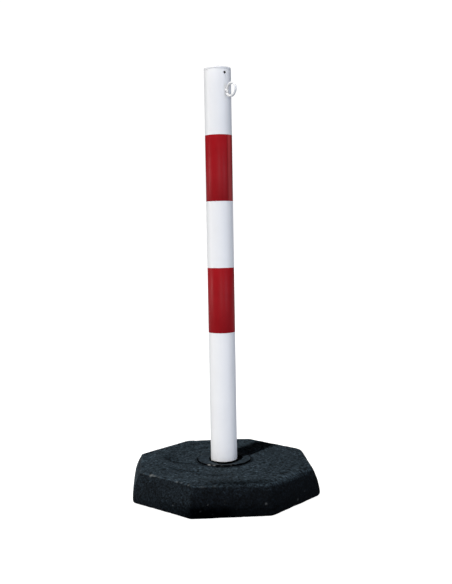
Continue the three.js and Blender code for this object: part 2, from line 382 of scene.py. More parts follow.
def rubber_material():
    m = Material("base_rubber")
    grain = m.cells(430.0)                          # granules, about 2.3 mm
    tone = m.red_of(m.cells(430.0, output="Color"))
    coarse = m.red_of(m.cells(170.0, output="Color"))
    blotch = m.noise(11.0, 3.0, 0.55)
    flat_grain, side_grain = m.noise(165.0, 3.0, 0.7), m.noise(310.0, 3.0, 0.7)
    level = m.remap(m.normal_z(), 0.45, 0.9)
    mottle = m.math("ADD", m.math("MULTIPLY", flat_grain, level),
                    m.math("MULTIPLY", side_grain, m.math("SUBTRACT", 1.0, level)))
    dust = m.noise(1300.0, 2.0, 0.6)
    patch = m.noise(36.0, 3.0, 0.6, distortion=0.8)
    # settled dust greys what faces up; the side that faces -X, and less so the faces between, is lightened as painted
    # sheen
    upward = m.remap(m.normal_z(), 0.30, 0.93)
    painted_sheen_left = m.math("MULTIPLY", m.remap(m.normal_x(), -0.80, -0.93), 0.92)
    between = m.math("MULTIPLY", m.remap(m.normal_x(), -0.35, -0.62), 0.20)
    facing = m.math("MAXIMUM", upward, m.math("MAXIMUM", painted_sheen_left, between))
    dust_and_sheen = m.math("MULTIPLY", facing, m.remap(blotch, 0.30, 0.72, 0.86, 1.08, "LINEAR"))
    body = m.mix(dust_and_sheen, (0.0018, 0.0028, 0.0041), (0.0240, 0.0352, 0.0450))
    # each granule has a tone of its own, and a few are clearly paler
    tones = m.math("ADD", m.remap(tone, 0.0, 1.0, 0.60, 1.40, "LINEAR"),
                   m.remap(coarse, 0.90, 1.0, 0.0, 0.7))
    tones = m.math("MULTIPLY", tones, m.remap(mottle, 0.38, 0.62, 0.08, 1.86, "LINEAR"))
    tones = m.math("MULTIPLY", tones, m.remap(patch, 0.30, 0.70, 0.76, 1.24, "LINEAR"))
    # painted shade: the shade attribute darkens the rubber's tones, down to a tenth
    tones = m.math("MULTIPLY", tones, m.remap(m.attribute("shade"), 0.0, 1.0, 1.0, 0.10, "LINEAR"))
    body = m.mix(1.0, body, tones, "MULTIPLY")
    wear_and_glint_tint = m.math("MULTIPLY", m.attribute("wear_and_glint"), m.remap(dust, 0.35, 0.62, 0.35, 1.0))
    body = m.mix(wear_and_glint_tint, body, (0.21, 0.225, 0.23))
    height = m.math("ADD", m.math("MULTIPLY", grain, 0.55), m.math("MULTIPLY", dust, 0.22))
    height = m.math("ADD", height, m.math("MULTIPLY", mottle, 0.75))
    normal = m.bump(height, 0.0011, 0.55)
    rough = m.math("ADD", m.remap(mottle, 0.3, 0.7, 0.70, 0.86, "LINEAR"),
                   m.math("MULTIPLY", wear_and_glint_tint, 0.1), clamp=True)
    # painted shade also takes the specular off
    sheen = m.remap(m.attribute("shade"), 0.0, 0.8, 0.05, 0.0, "LINEAR")
    m.link(sheen, m.shader.inputs["Specular IOR Level"])
    return m.done(body, rough, normal)


def black_plastic_material(name="black_plastic", lift=1.0):
    m = Material(name)
    fine = m.noise(900.0, 3.0, 0.6)
    cloud = m.noise(38.0, 3.0, 0.5)
    scuff = m.noise(240.0, 4.0, 0.65, vector=m.stretch((1.0, 1.0, 0.35)))
    grit = m.noise(130.0, 3.0, 0.6)
    upward = m.remap(m.normal_z(), 0.3, 0.95)
    dust = m.math("MULTIPLY", upward, m.remap(cloud, 0.3, 0.7, 0.6, 1.1, "LINEAR"))
    body = m.mix(dust, (0.0050 * lift, 0.0070 * lift, 0.0092 * lift),
                 (0.0215 * lift, 0.0315 * lift, 0.0410 * lift))
    body = m.mix(1.0, body, m.remap(fine, 0.3, 0.7, 0.78, 1.22, "LINEAR"), "MULTIPLY")
    body = m.mix(1.0, body, m.remap(grit, 0.33, 0.67, 0.25, 1.75, "LINEAR"), "MULTIPLY")
    # painted shade: where the shade attribute is, the plastic goes near black
    body = m.mix(m.attribute("shade"), body, (0.0008, 0.0009, 0.0011))
    # wear, and on the collar two painted glints, pale the surface
    wear_and_glint_tint = m.math("MULTIPLY", m.attribute("wear_and_glint"), m.remap(fine, 0.35, 0.62, 0.5, 1.0))
    body = m.mix(wear_and_glint_tint, body, (0.55, 0.56, 0.57))
    height = m.math("ADD", m.math("MULTIPLY", fine, 0.5), m.math("MULTIPLY", scuff, 0.5))
    rough = m.remap(scuff, 0.3, 0.7, 0.46, 0.66, "LINEAR")
    # painted shade takes the sheen off
    sheen = m.remap(m.attribute("shade"), 0.0, 0.8, 0.10, 0.0, "LINEAR")
    m.link(sheen, m.shader.inputs["Specular IOR Level"])
    return m.done(body, rough, m.bump(height, 0.00022, 0.5))


def white_plastic_material():
    m = Material("white_plastic")
    streak = m.noise(300.0, 3.0, 0.55, vector=m.stretch((1.0, 1.0, 0.012)))
    cloud = m.noise(16.0, 4.0, 0.55)
    fine = m.noise(850.0, 3.0, 0.6)
    scuff = m.noise(75.0, 5.0, 0.7, vector=m.stretch((1.0, 1.0, 0.3)), distortion=0.6)
    z = m.split(m.coords, 2)
    near_foot = m.remap(z, 0.069, 0.15, 1.0, 0.0)
    soil = m.math("MULTIPLY", m.math("ADD", m.math("MULTIPLY", near_foot, 0.55), 0.10),
                  m.remap(scuff, 0.52, 0.74), clamp=True)
    body = m.mix(m.remap(cloud, 0.25, 0.75, 0.0, 1.0, "LINEAR"),
                 (0.805, 0.812, 0.828), (0.845, 0.850, 0.862))
    body = m.mix(m.math("MULTIPLY", m.remap(streak, 0.55, 0.8), 0.25), body, (0.765, 0.775, 0.795))
    body = m.mix(m.math("MULTIPLY", soil, 0.5), body, (0.60, 0.60, 0.58))
    # painted shade: the walls of the pin's hole are painted near black, the shade inside the hole
    axis = (math.cos(radians(PIN_AZ)), math.sin(radians(PIN_AZ)))
    x, y = m.split(m.coords, 0), m.split(m.coords, 1)
    across = m.math("ADD", m.math("MULTIPLY", x, -axis[1]), m.math("MULTIPLY", y, axis[0]))
    outward = m.math("ADD", m.math("MULTIPLY", x, axis[0]), m.math("MULTIPLY", y, axis[1]))
    rise = m.math("SUBTRACT", z, PIN_Z * MM)
    gap = m.math("SQRT", m.math("ADD", m.math("MULTIPLY", across, across), m.math("MULTIPLY", rise, rise)))
    radius = m.math("SQRT", m.math("ADD", m.math("MULTIPLY", x, x), m.math("MULTIPLY", y, y)))
    pin_hole_shade = m.math("MULTIPLY", m.remap(gap, 0.0044, 0.0064, 1.0, 0.0), m.remap(radius, 0.02982, 0.02993, 1.0, 0.0))
    pin_hole_shade = m.math("MULTIPLY", pin_hole_shade, m.remap(outward, 0.0, 0.01))
    body = m.mix(pin_hole_shade, body, (0.006, 0.006, 0.007))
    height = m.math("ADD", m.math("MULTIPLY", streak, 0.6),
                    m.math("ADD", m.math("MULTIPLY", fine, 0.25), m.math("MULTIPLY", scuff, 0.35)))
    rough = m.math("ADD", m.remap(streak, 0.3, 0.7, 0.36, 0.48, "LINEAR"),
                   m.math("MULTIPLY", soil, 0.3), clamp=True)
    return m.done(body, rough, m.bump(height, 0.00009, 0.6), Specular_IOR_Level=0.30)


def white_eye_material():
    m = Material("white_eye_plastic")
    fine = m.noise(1500.0, 3.0, 0.6)
    cloud = m.noise(90.0, 3.0, 0.5)
    rub = m.noise(420.0, 4.0, 0.7, distortion=0.8)
    body = m.mix(m.remap(cloud, 0.3, 0.7, 0.0, 1.0, "LINEAR"),
                 (0.775, 0.780, 0.790), (0.815, 0.820, 0.828))
    body = m.mix(m.math("MULTIPLY", m.remap(rub, 0.60, 0.78), 0.35), body, (0.70, 0.70, 0.69))
    height = m.math("ADD", m.math("MULTIPLY", fine, 0.4), m.math("MULTIPLY", rub, 0.4))
    rough = m.remap(rub, 0.3, 0.7, 0.30, 0.44, "LINEAR")
    return m.done(body, rough, m.bump(height, 0.00008, 0.6), Specular_IOR_Level=0.35)


def red_film_material():
    m = Material("red_film")
    cloud = m.noise(22.0, 4.0, 0.55)
    peel = m.noise(420.0, 2.0, 0.5)
    fine = m.noise(2200.0, 2.0, 0.6)
    scratch = m.noise(170.0, 5.0, 0.75, vector=m.stretch((1.0, 1.0, 0.12)), distortion=0.4)
    marks = m.remap(scratch, 0.62, 0.80)
    body = m.mix(m.remap(cloud, 0.28, 0.72, 0.0, 1.0, "LINEAR"),
                 (0.268, 0.0058, 0.0092), (0.316, 0.0082, 0.0128))
    body = m.mix(m.math("MULTIPLY", marks, 0.16), body, (0.42, 0.060, 0.065))
    # the upper band carries a painted reflection, a paler strip down one side, with a darker line painted beside it
    turn = m.math("ARCTAN2", m.split(m.coords, 1), m.split(m.coords, 0))
    upper = m.remap(m.split(m.coords, 2), 0.60, 0.62)
    strip = m.math("MULTIPLY", m.remap(turn, radians(-53.5), radians(-50.5)), m.remap(turn, radians(-30.5), radians(-33.5), 0.0, 1.0))
    line = m.math("MULTIPLY", m.remap(turn, radians(-58.5), radians(-56.0)), m.remap(turn, radians(-51.5), radians(-54.0), 0.0, 1.0))
    strip = m.math("MULTIPLY", upper, m.math("MULTIPLY", strip, m.remap(cloud, 0.25, 0.75, 0.70, 1.0, "LINEAR")))
    body = m.mix(m.math("MULTIPLY", strip, 0.9), body, (0.40, 0.046, 0.046))
    body = m.mix(m.math("MULTIPLY", m.math("MULTIPLY", upper, line), 0.5), body, (0.16, 0.022, 0.022))
    height = m.math("ADD", m.math("MULTIPLY", peel, 0.7),
                    m.math("ADD", m.math("MULTIPLY", fine, 0.15), m.math("MULTIPLY", scratch, 0.3)))
    rough = m.math("ADD", m.remap(peel, 0.3, 0.7, 0.33, 0.41, "LINEAR"),
                   m.math("MULTIPLY", marks, 0.2), clamp=True)
    return m.done(body, rough, m.bump(height, 0.00007, 0.6), Specular_IOR_Level=0.07)


def zinc_material():
    m = Material("zinc_steel")
    spangle = m.red_of(m.cells(900.0, output="Color"))
    brush = m.noise(1600.0, 3.0, 0.6, vector=m.stretch((0.08, 1.0, 1.0)))
    tarnish = m.noise(160.0, 4.0, 0.6)
    body = m.mix(m.remap(tarnish, 0.3, 0.75), (0.66, 0.67, 0.68), (0.50, 0.50, 0.47))
    body = m.mix(1.0, body, m.remap(spangle, 0.0, 1.0, 0.88, 1.06, "LINEAR"), "MULTIPLY")
    height = m.math("ADD", m.math("MULTIPLY", brush, 0.6), m.math("MULTIPLY", spangle, 0.2))
    rough = m.remap(tarnish, 0.3, 0.7, 0.28, 0.46, "LINEAR")
    return m.done(body, rough, m.bump(height, 0.00006, 0.6), Metallic=1.0)


RUBBER = rubber_material()
BLACK = black_plastic_material()
WHITE = white_plastic_material()
EYE_WHITE = white_eye_material()
RED = red_film_material()
ZINC = zinc_material()


def finish_piece(obj, node, body, material):
    obj.data.materials.clear()
    obj.data.materials.append(material)
    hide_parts(node)
    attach(obj, body)
    return obj


# ----------------------------------------------------------------- base block

FOOT, TOP, HEIGHT, SWELL = 207.5, 190.5, 67.0, 2.5
CORNERS = (24.0, 18.0, 15.0, 12.0, 8.0, 12.0, 24.0, 28.0)   # from 22.5 degrees round
EDGE_BY_FACE = {   # softness of the top edge, in mm, by the way each flat faces
    0: 11.0, 45: 8.0, 90: 5.0, 135: 4.5, 180: 4.0, 225: 3.2, 270: 9.0, 315: 14.0}


def periodic(table, angle):
    """Smooth interpolation of a table of {degrees: value} round the block."""
    keys = np.array(sorted(table) + [min(table) + 360.0])
    vals = np.array([table[k] for k in sorted(table)] + [table[min(table)]])
    angle = np.asarray(angle) % 360.0
    i = np.clip(np.searchsorted(keys, angle, side="right") - 1, 0, len(keys) - 2)
    f = (angle - keys[i]) / (keys[i + 1] - keys[i])
    f = f * f * (3 - 2 * f)
    return vals[i] * (1 - f) + vals[i + 1] * f


STRAIGHT, ARC = 32, 6
COLUMNS = 8 * (2 * STRAIGHT + ARC)


def block_columns():
    """For each column: its corner's angle, the angle it turns through there,
    and how far along the straight it lies (0 at the arc, 1 at mid flat)."""
    corner, turn, along, soft = [], [], [], []
    for k in range(8):
        c = 22.5 + 45 * k
        soft.extend([CORNERS[k]] * (2 * STRAIGHT + ARC))
        for i in range(STRAIGHT):
            corner.append(c); turn.append(c - 22.5); along.append(1 - i / STRAIGHT)
        for i in range(ARC):
            corner.append(c); turn.append(c - 22.5 + 45 * i / ARC); along.append(0.0)
        for i in range(STRAIGHT):
            corner.append(c); turn.append(c + 22.5); along.append(i / STRAIGHT)
    return (np.radians(corner), np.radians(turn), np.array(along), np.array(soft))


CORNER_ANGLE, TURN_ANGLE, ALONG, CORNER_SOFT = block_columns()


def block_points(d, z, circle):
    """d, z, circle are (rows, columns) in mm. Returns points in mm. Where
    circle is 1 the row is a circle of radius d, and at 0 an octagon whose
    flats stand d from the axis."""
    r = np.minimum(CORNER_SOFT, d * 0.55)
    centre = (d - r) / math.cos(radians(22.5))
    x = centre * np.cos(CORNER_ANGLE) + r * np.cos(TURN_ANGLE)
    y = centre * np.sin(CORNER_ANGLE) + r * np.sin(TURN_ANGLE)
    # from the arc's end towards the middle of the flat
    side = np.sign(np.sin(CORNER_ANGLE - TURN_ANGLE))
    reach = (d - r) * math.tan(radians(22.5)) * ALONG
    x = x + side * reach * np.sin(TURN_ANGLE)
    y = y - side * reach * np.cos(TURN_ANGLE)
    a = np.arctan2(y, x)
    x = x * (1 - circle) + d * np.cos(a) * circle
    y = y * (1 - circle) + d * np.sin(a) * circle
    return np.stack([x, y, z + 0 * x], -1)


def base_block():
    # the way each column faces, for what varies round the block
    probe = block_points(np.full((1, COLUMNS), TOP), np.zeros((1, COLUMNS)), np.zeros((1, COLUMNS)))[0]
    facing = np.degrees(np.arctan2(probe[:, 1], probe[:, 0])) % 360
    wobble = fbm(np.stack([probe[:, 0] / 26, probe[:, 1] / 26, np.zeros(COLUMNS)], -1), 3, 5)
    edge = periodic(EDGE_BY_FACE, facing) * (1 + 0.22 * wobble)
    foot_edge = periodic({0: 9.0, 90: 8.5, 180: 9.4, 270: 9.0}, facing) * (1 + 0.16 * np.roll(wobble, 40))
    slope = (FOOT - TOP) / (HEIGHT - 9.0)
    belly = periodic({0: 0.0, 60: 0.0, 130: 0.0, 180: 2.4, 225: 1.0, 260: 0.0, 300: 0.0}, facing)

    def side_at(z):
        """How far the side stands out at height z: sloped, and slightly bellied."""
        t = np.maximum(0.0, (z - 9.0) / (HEIGHT - 15.0))
        return FOOT + (TOP + slope * 6.0 - FOOT) * t + 4 * (SWELL + belly) * t * (1 - t)
    rows_d, rows_z, rows_c, region = [], [], [], []

    def add(d, z, c, name):
        rows_d.append(np.broadcast_to(d, COLUMNS).astype(float))
        rows_z.append(np.broadcast_to(z, COLUMNS).astype(float))
        rows_c.append(np.broadcast_to(c, COLUMNS).astype(float))
        region.append(name)

    # mouth of the bore, softened, then the top face out to the edge
    for t in np.linspace(0, 1, 4):
        add(35.0 + 1.6 * (1 - math.cos(t * math.pi / 2)), HEIGHT - 1.6 * (1 - math.sin(t * math.pi / 2)), 1, "mouth")
    for t in np.linspace(0, 1, 64)[1:]:
        d = 36.6 + (TOP - edge - 36.6) * t
        add(d, HEIGHT, 1 - smooth(66, 150, d), "top")
    for t in np.linspace(0, 1, 11)[1:]:
        a, b = (1 - t) ** 2, t ** 2
        m = 2 * t * (1 - t)
        d0, z0 = TOP - edge, HEIGHT
        d2, z2 = side_at(HEIGHT - edge), HEIGHT - edge
        add(a * d0 + m * TOP + b * d2, a * z0 + m * HEIGHT + b * z2, 0, "edge")
    for t in np.linspace(0, 1, 25)[1:]:
        z = (HEIGHT - edge) * (1 - t) + foot_edge * t
        add(side_at(z), z, 0, "side")
    for t in np.linspace(0, 1, 9)[1:]:
        a, b = (1 - t) ** 2, t ** 2
        m = 2 * t * (1 - t)
        add((a + m) * side_at(foot_edge) + b * (side_at(foot_edge) - foot_edge), a * foot_edge, 0, "foot")
    # underside: rim, pockets behind the flats, hub, recess, bore
    for d in [195, 191, 187, 183, 179, 176, 174, 173, 172.2, 171.4, 170.6, 169.5, 167, 162, 156, 150,
              144, 138, 132, 126, 120, 114, 108, 102, 97, 92, 89, 87, 85.8, 84.9, 84, 83.2, 82, 79, 75,
              70, 65, 60, 57]:
        add(float(d), 0.0, 1 - smooth(66, 80, float(d)), "under")
    for t in np.linspace(0, 1, 4):
        add(55.0 + 0.8 * (1 - math.sin(t * math.pi / 2)), 0.8 * (1 - math.cos(t * math.pi / 2)), 1, "recess")
    for z in (4.0, 8.0, 11.5, 12.3):
        add(55.0, z, 1, "recess")
    for d in (53.5, 48, 43, 38, 36):
        add(float(d), 12.3, 1, "recess")
    for z in np.linspace(12.6, HEIGHT - 4, 12):
        add(35.0, float(z), 1, "bore")

    d, z, c = (np.array(v) for v in (rows_d, rows_z, rows_c))
    region = np.array(region)
    p = block_points(d, z, c)
    is_top = (region == "top") | (region == "edge")
    outer = is_top | (region == "side") | (region == "foot")

    # pockets: a 3 mm hollow behind each flat, its walls drafted
    under = region == "under"
    flat = np.round(np.degrees(np.arctan2(p[..., 1], p[..., 0])) / 45) * 45
    fa = np.radians(flat)
    dist = p[..., 0] * np.cos(fa) + p[..., 1] * np.sin(fa)
    side = np.abs(-p[..., 0] * np.sin(fa) + p[..., 1] * np.cos(fa))
    half = dist * math.tan(radians(22.5)) - 9 / math.cos(radians(22.5))
    depth = smooth(84.0, 86.2, dist) * (1 - smooth(169.8, 172.0, dist)) * (1 - smooth(-2.2, 0.0, side - half))
    p[..., 2] = np.where(under[:, None], p[..., 2] + 3.0 * depth, p[..., 2])

    # top face: shallow rings left by the moulding, a slight sag towards the
    # soft right-hand edges, and a slightly proud rim on the sharp left
    rr = np.hypot(p[..., 0], p[..., 1])
    az = np.degrees(np.arctan2(p[..., 1], p[..., 0])) % 360
    q = p / 60.0
    swirl = fbm(q, 3, 21)
    rings = np.sin(2 * math.pi * (rr / 17.0 + 0.9 * swirl)) * smooth(70, 92, rr) * (1 - smooth(150, 176, rr))
    patchy = smooth(-0.25, 0.45, fbm(q * 1.3 + 5.0, 3, 33))
    drop = 0.28 * rings * (0.35 + 0.65 * patchy)
    drop = drop + 0.55 * fbm(p / 38.0, 3, 44)
    sag = periodic({0: 1.6, 45: 0.9, 90: 0.2, 135: 0.1, 180: 0.0, 225: 0.0, 270: 0.5, 315: 1.6}, az)
    drop = drop - sag * smooth(128, 186, rr) - 0.45
    # two longer flow marks on the left, part of the way round
    for radius, width, a0, a1, deep in ((106, 2.4, 196, 262, 0.75), (126, 2.8, 168, 236, 0.6),
                                        (141, 2.4, 226, 300, 0.4), (92, 2.2, 292, 352, 0.35)):
        line = radius + 5.5 * fbm(q * 1.7 + radius, 2, 55)
        where = smooth(a0, a0 + 22, az) * (1 - smooth(a1 - 26, a1, az))
        drop = drop - deep * np.exp(-((rr - line) / width) ** 2) * where
    # painted shade in the troughs of the moulded rings, and below in each flow-mark groove
    shade = 0.30 * np.clip(-rings, 0, 1) * (0.3 + 0.7 * patchy)
    for line, width, deep, groove_shade in MARKS:
        width = width * 2.1
        gap = np.full(rr.shape, 1e9)
        warp = 2.5 * fbm(p / 16.0, 2, 57)
        for (ax, ay), (bx, by) in zip(line[:-1], line[1:]):
            ux, uy = bx - ax, by - ay
            t = np.clip(((p[..., 0] - ax) * ux + (p[..., 1] - ay) * uy) / (ux * ux + uy * uy), 0, 1)
            gap = np.minimum(gap, np.hypot(p[..., 0] - ax - ux * t, p[..., 1] - ay - uy * t))
        groove = np.exp(-((gap + warp) / width) ** 2)
        drop = drop - deep * groove
        shade = np.maximum(shade, 0.95 * groove_shade * groove * (0.75 + 0.25 * patchy))
    # the right of the top is painted darker
    shade = np.maximum(shade, 0.15 * smooth(85, 130, rr) * periodic(
        {0: 1.0, 60: 0.3, 110: 0.0, 180: 0.0, 250: 0.0, 290: 0.4, 325: 1.0}, az))
    shade = shade * is_top[:, None]
    keep = smooth(62, 74, rr)
    top_w = np.where(region == "top", 1.0, 0.0)[:, None] * keep
    edge_w = np.zeros((len(region), COLUMNS))
    rows_edge = np.where(region == "edge")[0]
    for i, row in enumerate(rows_edge):
        edge_w[row] = 1 - (i + 1) / len(rows_edge)
    p[..., 2] += np.minimum(drop, 0.0) * np.maximum(top_w, edge_w)

    # moulded skin: granules and shallow pits, pushed inwards along the normal
    du = np.roll(p, -1, 1) - np.roll(p, 1, 1)
    dv = np.roll(p, -1, 0) - np.roll(p, 1, 0)
    normal = np.cross(du, dv)
    normal /= np.maximum(np.linalg.norm(normal, axis=-1, keepdims=True), 1e-9)
    if (normal[region == "side"] * (p[region == "side"] * np.array([1, 1, 0]))).sum() < 0:
        normal = -normal
    lumps = fbm(p / 9.0, 2, 71)
    grit = fbm(p / 3.6, 2, 81)
    pits = np.clip(0.34 - cells3(p / 11.0, 91), 0, 1) * (fbm(p / 30.0, 2, 95) > -0.1)
    skin = 0.16 * lumps + 0.22 * grit - 2.0 * pits - 0.34
    amount = np.where(outer, 1.0, np.where(under, 0.5, 0.0))[:, None] * np.where(is_top[:, None], keep, 1.0)
    p = p + normal * (skin * amount)[..., None]

    # chips and rubbed places along the edges and foot corners
    wear_and_glint = np.zeros((len(region), COLUMNS))
    edge_line = np.zeros_like(wear_and_glint)
    for i, row in enumerate(rows_edge):
        edge_line[row] = math.exp(-((i - 4.0) / 3.0) ** 2)
    # painted shade: the ground-contact band along the front is darker than the rest
    ground = (1 - smooth(12, 36, p[..., 2] + 5 * swirl)) * periodic(
        {0: 0, 30: 0, 60: 0, 90: 0, 120: 0, 150: 0, 180: 0, 210: 0.20, 240: 0.55, 251: 1.0, 264: 1.0, 275: 0.50, 300: 0.30, 330: 0.1}, az)
    # painted shade: the top darkens towards its soft front edge, fading over the edge rows, and a dark line is painted
    # on the top just outside the collar, where shade falls at its foot
    lip = smooth(146, 180, -p[..., 1]) * periodic({0: 0, 225: 0.0, 246: 0.25, 262: 0.78, 285: 0.74, 300: 0.5, 330: 0.1}, az)
    fade = np.ones(len(region))
    fade[region == "edge"] = np.linspace(1.0, 0.1, int((region == "edge").sum()))
    lip = lip * fade[:, None]
    ring_line = np.exp(-((rr - 64.4) / 2.8) ** 2) * periodic({0: 0.75, 90: 0.0, 180: 0.7, 270: 0.9}, az)
    shade = np.maximum(shade, np.maximum(ring_line, lip) * is_top[:, None])
    shade = np.clip(shade + ground * (~is_top)[:, None], 0, 1)
    face_wear = periodic({0: 0.05, 45: 0.10, 90: 0.2, 135: 0.4, 180: 0.5, 225: 0.9, 270: 0.10, 315: 0.05}, az)
    specks = smooth(0.22, 0.55, fbm(p / 7.0, 3, 101))
    wear_and_glint += edge_line * face_wear * specks * 0.55
    for x, y, zz, size, amountw in SPECKS:
        gap = np.sqrt(((p - np.array([x, y, zz])) ** 2).sum(-1))
        wear_and_glint += amountw * (1 - smooth(size * 0.35, size, gap))
    wear_and_glint += 0.35 * smooth(0.50, 0.72, fbm(p / 5.0, 2, 111)) * smooth(0.15, 0.5, fbm(p / 45.0, 2, 121)) * outer[:, None]
    wear_and_glint = np.clip(wear_and_glint, 0, 1)

    p[..., 0] = np.clip(p[..., 0], -207.4, 207.4)
    p[..., 1] = np.clip(p[..., 1], -207.4, 207.4)
    p[..., 2] = np.clip(p[..., 2], 0.0, HEIGHT)
    obj = grid_mesh("base_block_rubber", p * MM, attributes={"wear_and_glint": wear_and_glint, "shade": shade})
    obj.data.shade_smooth()
    return obj


SPECKS = [  # x, y, z in mm, size, strength: pale nicks in the rubber
    (-164.8, -99.1, 66.0, 6.0, 1.0), (-157.9, -106.3, 66.0, 4.5, 0.9), (-149.0, -115.4, 66.0, 3.5, 0.6),
    (-110.7, -155.1, 66.0, 3.4, 0.55), (-101.9, -163.2, 66.0, 2.8, 0.40), (-87.1, -178.5, 65.0, 3.0, 0.40),
    (-82.5, -201.6, 22.0, 2.6, 0.9), (70.5, -203.3, 27.0, 3.2, 0.32),
]
MARKS = [  # lines left in the top by the flow of the rubber: points, width, depth, darkness (painted shade in the groove)
    (((-133, 41), (-126, 20), (-117, 2), (-103, -12), (-88, -19), (-70, -24), (-54, -37)), 3.4, 0.8, 0.75),
    (((-127, 54), (-120, 32), (-108, 16)), 6.0, 0.5, 0.55),
    (((-125, -43), (-115, -60), (-103, -74), (-91, -78), (-79, -78), (-72, -89), (-63, -101), (-42, -115), (-16, -121)), 3.0, 0.9, 0.80),
    (((-141, -50), (-133, -68), (-121, -82), (-110, -90)), 3.0, 0.5, 0.40),
    (((-115, 82), (-106, 100), (-88, 127), (-62, 149), (-31, 159)), 6.5, 0.5, 0.50),
    (((-95, 62), (-83, 85), (-60, 105), (-34, 117)), 4.0, 0.4, 0.40),
    (((91, -72), (107, -50), (118, -22), (120, 8)), 4.0, 0.5, 0.35),
    (((28, -129), (56, -121), (82, -105), (103, -86)), 3.6, 0.5, 0.30),
    (((131, -60), (143, -33), (148, 1)), 4.0, 0.4, 0.30),
]

finish_piece(base_block(), "base_block", "base", RUBBER)

# --------------------------------------------------------------------- socket


def collar_painted_shade(p):
    """Painted shade on the collar: darkened at its rim and round its mouth, clear only in a belt
    between them, and the belt is narrowest in front; round the mouth the shade reaches further out to the right, where
    the post's shadow falls."""
    a = np.degrees(np.arctan2(p[:, 1], p[:, 0])) % 360
    r = np.hypot(p[:, 0], p[:, 1])
    front = np.exp(-((a - 268.0) / 42.0) ** 2)
    right = np.exp(-(((a + 170.0) % 360.0 - 180.0) / 42.0) ** 2)
    rim, mouth = 60.4 - 5.0 * front, 34.6 + 16.0 * front + 9.0 * right
    return np.maximum(smooth(rim - 0.4, rim + 0.6, r) * 0.97, 1 - smooth(mouth - 0.6, mouth + 0.8, r))


def glints(p):
    """Two painted glints on the collar's rim, highlights where it catches the key light."""
    a = np.degrees(np.arctan2(p[:, 1], p[:, 0])) % 360
    r = np.hypot(p[:, 0], p[:, 1])
    spots = (0.8 * np.exp(-((a - 232.5) / 3.0) ** 2) + 0.35 * np.exp(-((a - 244.5) / 2.6) ** 2))
    return spots * smooth(59.6, 60.6, r) * smooth(67.6, 68.4, p[:, 2])


def write_point_attribute(obj, fn, name="wear_and_glint"):
    co = np.zeros(len(obj.data.vertices) * 3)
    obj.data.vertices.foreach_get("co", co)
    values = np.clip(fn(co.reshape(-1, 3) / MM), 0, 1)
    obj.data.attributes.new(name, "FLOAT", "POINT").data.foreach_set("value", values.astype(np.float32))
    return obj


def socket_collar():
    top = 70.1
    profile = fillet([
        (7.0, 6.0, 0.4), (31.2, 6.0, 0.8), (32.2, 3.0, 0.3), (34.6, 3.0, 0.6), (34.6, 67.1, 0.0),
        (62.0, 67.1, 0.25), (62.0, top, 1.0), (33.0, top, 1.0), (31.2, top - 2.4, 0.8),
        (31.2, 10.0, 0.8), (7.0, 10.0, 0.5)], steps=5)
    # more rows across the flange, so that it can carry a slight dish and waviness
    dense = []
    for i, a in enumerate(profile):
        b = profile[(i + 1) % len(profile)]
        dense.append(a)
        length = math.hypot(a[0] - b[0], a[1] - b[1])
        for k in range(1, int(length // 2.2) if a[1] > 60 and b[1] > 60 else 1):
            t = k / int(length // 2.2)
            dense.append((a[0] * (1 - t) + b[0] * t, a[1] * (1 - t) + b[1] * t))
    obj = turned("socket_collar_flange", dense, 192)
    co = np.zeros(len(obj.data.vertices) * 3)
    obj.data.vertices.foreach_get("co", co)
    co = co.reshape(-1, 3) / MM
    r = np.hypot(co[:, 0], co[:, 1])
    on_top = (co[:, 2] > 69.0) * smooth(33.5, 37, r)
    co[:, 2] -= on_top * (0.14 + 0.14 * fbm(co / 14.0, 3, 131))
    co[:, 2] -= on_top * 0.25 * np.exp(-((r - 50.0) / 1.2) ** 2)
    rim = smooth(61.0, 62.0, r)
    co[:, :2] *= (1 - rim * (0.0020 + 0.0020 * fbm(co / 9.0, 2, 141)))[:, None]
    obj.data.vertices.foreach_set("co", (co * MM).reshape(-1))
    tidy(obj, 40)
    # rim wear, and the two painted glints
    write_point_attribute(obj, lambda p: np.maximum(
        smooth(58.2, 59.6, np.hypot(p[:, 0], p[:, 1])) * smooth(68.4, 69.4, p[:, 2])
        * smooth(0.40, 0.65, fbm(p / 6.0, 3, 151)) * 0.25,
        glints(p)))
    return write_point_attribute(obj, collar_painted_shade, "shade")


def socket_ring():
    segments = 360
    a = np.arange(segments) * 2 * math.pi / segments
    turn = (np.degrees(a) - 15 + 30) % 60 - 30
    tangential = 51.0 * np.sin(np.radians(turn))
    notch = 1 - smooth(3.9, 5.1, np.abs(tangential))
    outline = 51.0 * (1 - notch) + 46.5 / np.cos(np.radians(turn)) * notch
    section = fillet([(34.9, 3.5, 0.5), (49.5, 3.5, 0.6), (51.0, 5.0, 0.6), (51.0, 12.1, 0.5), (34.9, 12.1, 0.5)], steps=4)
    rows = []
    for r, z in section:
        share = max(0.0, (r - 40.0) / 11.0)
        rr = r + (outline - 51.0) * share if r > 40 else np.full(segments, r)
        rows.append(np.stack([rr * np.cos(a), rr * np.sin(a), np.full(segments, z)], -1))
    obj = grid_mesh("socket_ring_nut", np.array(rows) * MM)
    return tidy(obj, 40)


finish_piece(socket_collar(), "socket_collar", "base", BLACK)
finish_piece(write_point_attribute(socket_ring(), lambda p: p[:, 0] * 0), "socket_ring", "base", BLACK)

# ----------------------------------------------------------------------- post



def drill(azimuth, height, r, flare, inner=18.0, surface=30.0):
    """A cutter along a radius of the post, flared where it leaves the wall."""
    obj = bar_x("drill", [(inner, 0), (inner, r), (surface - 0.75, r), (surface - 0.15, r + flare * 0.45),
                          (surface + 0.7, r + flare * 2.0), (surface + 6, r + flare * 2.0), (surface + 6, 0)], 48)
    tidy(obj, 30)
    return place(obj, azimuth, height)


